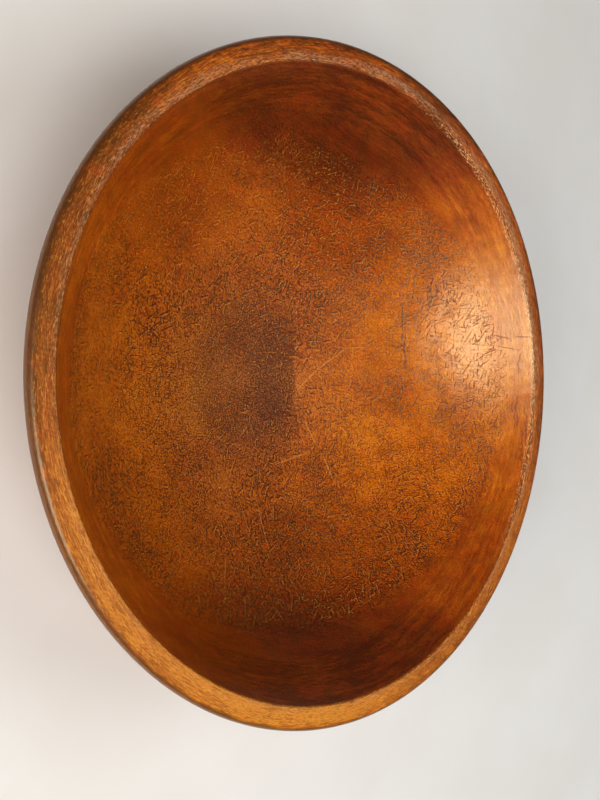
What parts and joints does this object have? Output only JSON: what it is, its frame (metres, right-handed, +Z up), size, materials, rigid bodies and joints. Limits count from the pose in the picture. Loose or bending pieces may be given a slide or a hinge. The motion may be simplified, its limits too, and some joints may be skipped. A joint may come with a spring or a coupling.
{
  "type": "turned wooden bowl",
  "caption": "Shallow round bowl turned from hardwood, with a flat rim, a rounded inside and a flat foot, gone slightly oval and saddle-shaped with age.",
  "frame": {"origin": "middle of the foot's flat face, on the surface the bowl stands on", "axes": "+Z up out of the bowl's mouth, X along the grain, Y across it"},
  "size_m": [0.334, 0.326, 0.0878],
  "materials": {
    "varnished_hardwood": "orange-brown stain under worn satin varnish, knife-marked inside"
  },
  "bodies": {
    "root": {"bowl": "varnished_hardwood"}
  },
  "joints": []
}
